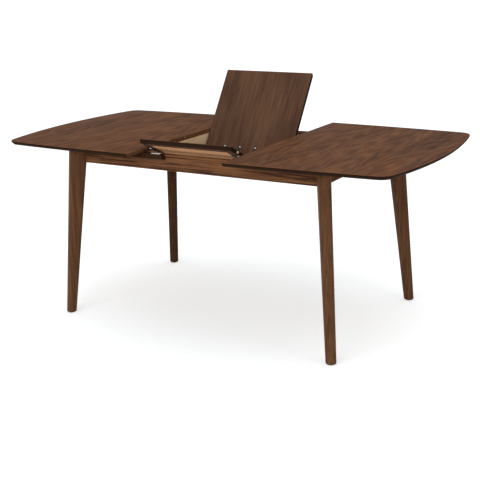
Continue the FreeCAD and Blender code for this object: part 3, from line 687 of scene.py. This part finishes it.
class TABLE_OT_slides(bpy.types.Operator):
    """Finishes the telescopic slides in plated steel"""
    bl_idname = "table.slides"
    bl_label = "Slides"

    def execute(self, context):
        ease = context.scene.table_sizes.metal_ease
        for end in ENDS:
            for side in SIDES:
                dressed("slide_channel_" + side + "_" + end, zinc_steel(), ease)
                dressed("slide_member_" + end + "_" + side, zinc_steel(), ease)
        return {"FINISHED"}


class TABLE_OT_lift(bpy.types.Operator):
    """Finishes the lift shaft, guides, brackets, glides and hinges"""
    bl_idname = "table.lift"
    bl_label = "Leaf lift"

    def execute(self, context):
        sizes = context.scene.table_sizes
        for end in ENDS:
            for node in ("guide_plate_", "lift_bracket_", "leaf_glide_"):
                dressed(node + end, black_steel(), sizes.metal_ease)
        for node in ("lift_shaft", "shaft_collars", "guide_screws"):
            dressed(node, zinc_steel(), sizes.metal_ease)
        dressed("glide_buttons", coated_steel(), sizes.metal_ease)
        dressed("guide_rollers", nylon(), sizes.metal_ease)
        for node in ("hinge_straps", "hinge_pins"):
            dressed(node, black_steel(), sizes.hinge_ease)
        return {"FINISHED"}


class TABLE_OT_pins(bpy.types.Operator):
    """Finishes the wooden alignment pins"""
    bl_idname = "table.pins"
    bl_label = "Pins"

    def execute(self, context):
        ease = context.scene.table_sizes.wood_ease
        raw = beech("raw_beech_pin", GRAIN_X, seed=61.0)
        stained = stained_beech("stained_beech_pin", context.scene.table_finishes.pin_stain, seed=63.0)
        for node, pin in (
                ("top_left_pins", stained), ("top_right_pins", stained), ("leaf_front_pins", raw)):
            dressed(node, pin, ease, grain=X_AXIS)
        return {"FINISHED"}


# Where screws sit, as shares of a flat's length from its middle
BLOCK_SCREWS = (-0.33, 0.33)
RUNNER_SCREWS = (-0.42, -0.14, 0.14, 0.42)
BEARER_SCREWS = (-0.3, 0.3)
PLATE_SCREWS = (-0.3, 0.3)
BRACKET_SCREWS = (-0.36, 0.36)
GLIDE_SCREWS = (0.3,)
STRAP_SCREWS = (0.1, 0.46)

# The arms of a cross recess, for a head of radius 1
RECESS_ARMS = ((1.1, 0.2, 0.8), (0.2, 1.1, 0.8))


def flats(node, facing):
    """The largest flat that faces that way on each solid of a node, as its corner points."""
    shape = merged(node)
    seen = set()
    found = []
    for start in shape.verts:
        if start in seen:
            continue
        seen.add(start)
        solid = [start]
        planes = {}
        for vertex in solid:
            for edge in vertex.link_edges:
                other = edge.other_vert(vertex)
                if other not in seen:
                    seen.add(other)
                    solid.append(other)
            for face in vertex.link_faces:
                if face.normal.dot(facing) > FLAT_FACING:
                    height = round(face.calc_center_median().dot(facing), 4)
                    planes.setdefault(height, {})[face.index] = face
        best = max(planes.values(), key=lambda faces: sum(face.calc_area() for face in faces.values()))
        found.append([vertex.co.copy() for face in best.values() for vertex in face.verts])
    shape.free()
    return found


def screw_row(node, facing, axis, shares):
    """Screw points along the axis on each solid's flat that faces that way, and where they aim."""
    row = []
    for corners in flats(node, facing):
        middle = (Vector(map(max, zip(*corners))) + Vector(map(min, zip(*corners)))) / 2
        reach = [corner.dot(axis) for corner in corners]
        span = max(reach) - min(reach)
        row += [(middle + axis * (span * share), facing) for share in shares]
    return row


def screw_tree():
    """A node tree that sets a domed head with a cross recess on every point, along its aim."""
    tree = bpy.data.node_groups.new("screw_heads", "GeometryNodeTree")
    for name, kind in (
            ("Points", "Geometry"), ("Head diameter", "Float"), ("Head rise", "Float"),
            ("Finish", "Material")):
        tree.interface.new_socket(name, in_out="INPUT", socket_type="NodeSocket" + kind)
    tree.interface.new_socket("Heads", in_out="OUTPUT", socket_type="NodeSocketGeometry")
    given = add(tree, "NodeGroupInput").outputs
    half = add(tree, MATHS, {0: given["Head diameter"], 1: 0.5}, operation="MULTIPLY")
    size = add(tree, "ShaderNodeCombineXYZ", {"X": half, "Y": half, "Z": given["Head rise"]})
    ball = add(tree, "GeometryNodeMeshUVSphere", {"Segments": 12, "Rings": 8, "Radius": 1.0})
    cut = add(tree, "GeometryNodeMeshBoolean", {"Mesh 1": ball}, operation="DIFFERENCE")
    for arm in RECESS_ARMS:
        bar = add(tree, "GeometryNodeMeshCube", {"Size": arm})
        raised = add(tree, "GeometryNodeTransform", {"Geometry": bar, "Translation": (0.0, 0.0, 1.0)})
        feed(tree, cut, {"Mesh 2": raised})
    head = add(tree, "GeometryNodeTransform", {"Geometry": cut, "Scale": size})
    aim = add(tree, "GeometryNodeInputNamedAttribute", {"Name": "aim"}, data_type="FLOAT_VECTOR")
    turn = add(tree, "FunctionNodeAlignRotationToVector", {"Vector": aim}, axis="Z")
    heads = add(tree, "GeometryNodeInstanceOnPoints", {
        "Points": given["Points"], "Instance": head, "Rotation": turn})
    real = add(tree, "GeometryNodeRealizeInstances", {"Geometry": heads})
    finished = add(tree, "GeometryNodeSetMaterial", {"Geometry": real, "Material": given["Finish"]})
    add(tree, "NodeGroupOutput", {"Heads": finished})
    return tree


class TABLE_OT_screws(bpy.types.Operator):
    """Sets the screws of the frame, bearers, plates, brackets and hinges"""
    bl_idname = "table.screws"
    bl_label = "Screws"

    def execute(self, context):
        sizes = context.scene.table_sizes
        tree = screw_tree()
        blocks = []
        for corner in CORNERS:
            inward = X_AXIS * (1 if "left" in corner else -1) + Y_AXIS * (1 if "front" in corner else -1)
            inward.normalize()
            blocks += screw_row("corner_block_" + corner, inward, inward.cross(Z_AXIS), BLOCK_SCREWS)
        self.heads(tree, "block_screws", "frame", blocks, sizes.screw_head, sizes.screw_rise)
        for end in ENDS:
            under = []
            for side in SIDES:
                place = end + "_" + side
                under += screw_row("runner_" + place, -Z_AXIS, X_AXIS, RUNNER_SCREWS)
                under += screw_row("bearer_" + place, -Z_AXIS, X_AXIS, BEARER_SCREWS)
            self.heads(
                tree, end + "_bearer_screws", end + "_top", under, sizes.screw_head, sizes.screw_rise)
        plates = screw_row("wear_plates", Z_AXIS, X_AXIS, PLATE_SCREWS)
        self.heads(tree, "wear_plate_screws", "left_top", plates, sizes.small_head, sizes.flush_rise)

        normal, slope = panel_frame("leaf_front")
        under = []
        for end in ENDS:
            under += screw_row("lift_bracket_" + end, -normal, slope, BRACKET_SCREWS)
            under += screw_row("leaf_glide_" + end, -normal, slope, GLIDE_SCREWS)
        self.heads(tree, "leaf_bracket_screws", "front_leaf", under, sizes.small_head, sizes.bracket_rise)
        normal, slope = panel_frame("leaf_rear")
        straps = screw_row("hinge_straps", normal, slope, STRAP_SCREWS)
        self.heads(tree, "hinge_screws", "rear_leaf", straps, sizes.small_head, sizes.flush_rise)
        return {"FINISHED"}

    def heads(self, tree, name, body, places, diameter, rise):
        """Sets one group of heads on (point, aim) pairs, as one piece that rides on a body."""
        mesh = bpy.data.meshes.new(name)
        mesh.from_pydata([point for point, aim in places], [], [])
        aims = mesh.attributes.new("aim", "FLOAT_VECTOR", "POINT")
        for index, (point, aim) in enumerate(places):
            aims.data[index].vector = aim
        made = bpy.data.objects.new(name, mesh)
        bpy.context.scene.collection.objects.link(made)
        modifier = made.modifiers.new("heads", "NODES")
        modifier.node_group = tree
        values = {"Head diameter": diameter, "Head rise": rise, "Finish": zinc_steel()}
        for item in tree.interface.items_tree:
            if item.name in values:
                modifier[item.identifier] = values[item.name]
        baked(made)
        if not made.data.polygons:
            raise RuntimeError("No screw heads were made for " + name)
        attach(made, body)


# Stage
SENSOR_WIDTH = 36.0
VIEW_REACH = 100.0
WHITE = linear("FFFFFF")

# The floor glows for the camera: distance from the table's middle in metres, and strength there.
# The weaker glow near the middle is painted shade that deepens the table's shadow there.
GLOW_INNER, GLOW_INNER_STRENGTH = 0.2, 0.38
GLOW_OUTER, GLOW_OUTER_STRENGTH = 1.45, 0.7

# Each lamp's place, width and height in metres, and its power's name in TableStage
LAMPS = (
    ("overhead_lamp", (0.2, 0.2, 2.9), (3.2, 2.4), "overhead_power"),
    ("front_lamp", (-0.3, -4.8, 2.25), (4.0, 1.0), "front_power"),
    ("right_lamp", (4.5, -1.2, 1.6), (1.2, 2.2), "side_power"),
)
LAMP_AIM = Vector((0.0, 0.0, 0.6))


class TABLE_OT_stage(bpy.types.Operator):
    """Sets the camera, lamps, room light and floor"""
    bl_idname = "table.stage"
    bl_label = "Stage"

    def execute(self, context):
        stage = context.scene.table_stage
        context.scene.view_settings.view_transform = "Standard"
        self.camera(context, stage)
        self.floor(context, stage)
        self.lamps(context, stage)
        self.room(context, stage)
        return {"FINISHED"}

    def camera(self, context, stage):
        yaw, pitch, roll = stage.camera_turn
        forward = Vector((
            math.sin(yaw) * math.cos(pitch), math.cos(yaw) * math.cos(pitch), -math.sin(pitch)))
        right = Vector((math.cos(yaw), -math.sin(yaw), 0.0))
        up = right.cross(forward)
        side = right * math.cos(roll) + up * math.sin(roll)
        top = up * math.cos(roll) - right * math.sin(roll)
        data = bpy.data.cameras.new("photo_camera")
        data.sensor_width = SENSOR_WIDTH
        data.lens = stage.focal_length
        data.shift_y = stage.camera_rise
        data.clip_end = VIEW_REACH
        camera = bpy.data.objects.new("photo_camera", data)
        context.scene.collection.objects.link(camera)
        turn = Matrix((side, top, -forward)).transposed().to_4x4()
        camera.matrix_world = Matrix.Translation(stage.camera_place) @ turn
        context.scene.camera = camera

    def floor(self, context, stage):
        """Seamless studio paper: matt and pale, white to the camera far from the table, its glow dimmed near
        the middle as painted shade.
        """
        half = stage.floor_size / 2
        mesh = bpy.data.meshes.new("floor")
        corners = [(-half, -half, 0), (half, -half, 0), (half, half, 0), (-half, half, 0)]
        mesh.from_pydata(corners, [], [(0, 1, 2, 3)])
        floor = bpy.data.objects.new("floor", mesh)
        context.scene.collection.objects.link(floor)
        material, tree, shader = blank_material("matt_studio_paper")
        feed(tree, shader, {
            "Base Color": stage.floor_colour, "Roughness": 0.9, "Specular IOR Level": 0.0})
        place = add(tree, "ShaderNodeTexCoord").outputs["Object"]
        reach = add(tree, VECTORS, {0: place}, operation="LENGTH")
        # The glow rises with distance from the table's middle: the weaker glow near it is painted shade
        strength = add(tree, RANGE, {
            "Value": reach, "From Min": GLOW_INNER, "From Max": GLOW_OUTER,
            "To Min": GLOW_INNER_STRENGTH, "To Max": GLOW_OUTER_STRENGTH}, interpolation_type="SMOOTHSTEP")
        glow = add(tree, "ShaderNodeEmission", {"Strength": self.seen(tree, strength, 0.0)})
        total = add(tree, "ShaderNodeAddShader", {0: shader, 1: glow})
        feed(tree, tree.nodes["Material Output"], {"Surface": total})
        mesh.materials.append(material)

    def seen(self, tree, shown, hidden):
        """One strength for what the camera, mirrors and glass see, and another for the light given."""
        path = add(tree, "ShaderNodeLightPath").outputs
        looks = add(tree, MATHS, {0: path["Is Camera Ray"], 1: path["Is Glossy Ray"]}, operation="MAXIMUM")
        looks = add(tree, MATHS, {0: looks, 1: path["Is Transmission Ray"]}, operation="MAXIMUM")
        return add(tree, RANGE, {"Value": looks, "To Min": hidden, "To Max": shown})

    def lamps(self, context, stage):
        for name, place, size, power_name in LAMPS:
            data = bpy.data.lights.new(name, "AREA")
            data.shape = "RECTANGLE"
            data.size, data.size_y = size
            data.energy = getattr(stage, power_name)
            lamp = bpy.data.objects.new(name, data)
            lamp.visible_camera = False
            context.scene.collection.objects.link(lamp)
            turn = (LAMP_AIM - Vector(place)).to_track_quat("-Z", "Y").to_matrix().to_4x4()
            lamp.matrix_world = Matrix.Translation(place) @ turn

    def room(self, context, stage):
        world = bpy.data.worlds.new("studio")
        context.scene.world = world
        world.use_nodes = True
        tree = world.node_tree
        feed(tree, tree.nodes["Background"], {
            "Color": WHITE, "Strength": self.seen(tree, 1.0, stage.room_light)})


OPERATORS = (
    TABLE_OT_top_halves, TABLE_OT_leaf, TABLE_OT_legs, TABLE_OT_aprons, TABLE_OT_frame_blocks,
    TABLE_OT_bearers, TABLE_OT_slides, TABLE_OT_lift, TABLE_OT_pins, TABLE_OT_screws, TABLE_OT_stage,
)


class TABLE_PT_panel(bpy.types.Panel):
    """Lists the table's finishes, sizes, stage and operators"""
    bl_idname = "TABLE_PT_panel"
    bl_label = "Dining table"
    bl_space_type = "VIEW_3D"
    bl_region_type = "UI"
    bl_category = "Table"

    def draw(self, context):
        scene = context.scene
        for group in (scene.table_finishes, scene.table_sizes, scene.table_stage):
            box = self.layout.box()
            for key in group.__annotations__:
                box.prop(group, key)
        for operator in OPERATORS:
            self.layout.operator(operator.bl_idname)


CLASSES = (TableFinishes, TableSizes, TableStage, *OPERATORS, TABLE_PT_panel)


def register():
    for item in CLASSES:
        bpy.utils.register_class(item)
    bpy.types.Scene.table_finishes = bpy.props.PointerProperty(type=TableFinishes)
    bpy.types.Scene.table_sizes = bpy.props.PointerProperty(type=TableSizes)
    bpy.types.Scene.table_stage = bpy.props.PointerProperty(type=TableStage)


def unregister():
    del bpy.types.Scene.table_stage
    del bpy.types.Scene.table_sizes
    del bpy.types.Scene.table_finishes
    for item in reversed(CLASSES):
        bpy.utils.unregister_class(item)


def main():
    register()
    bpy.ops.table.top_halves()
    bpy.ops.table.leaf()
    bpy.ops.table.legs()
    bpy.ops.table.aprons()
    bpy.ops.table.frame_blocks()
    bpy.ops.table.bearers()
    bpy.ops.table.slides()
    bpy.ops.table.lift()
    bpy.ops.table.pins()
    bpy.ops.table.screws()
    bpy.ops.table.stage()


if __name__ == "__main__":
    main()
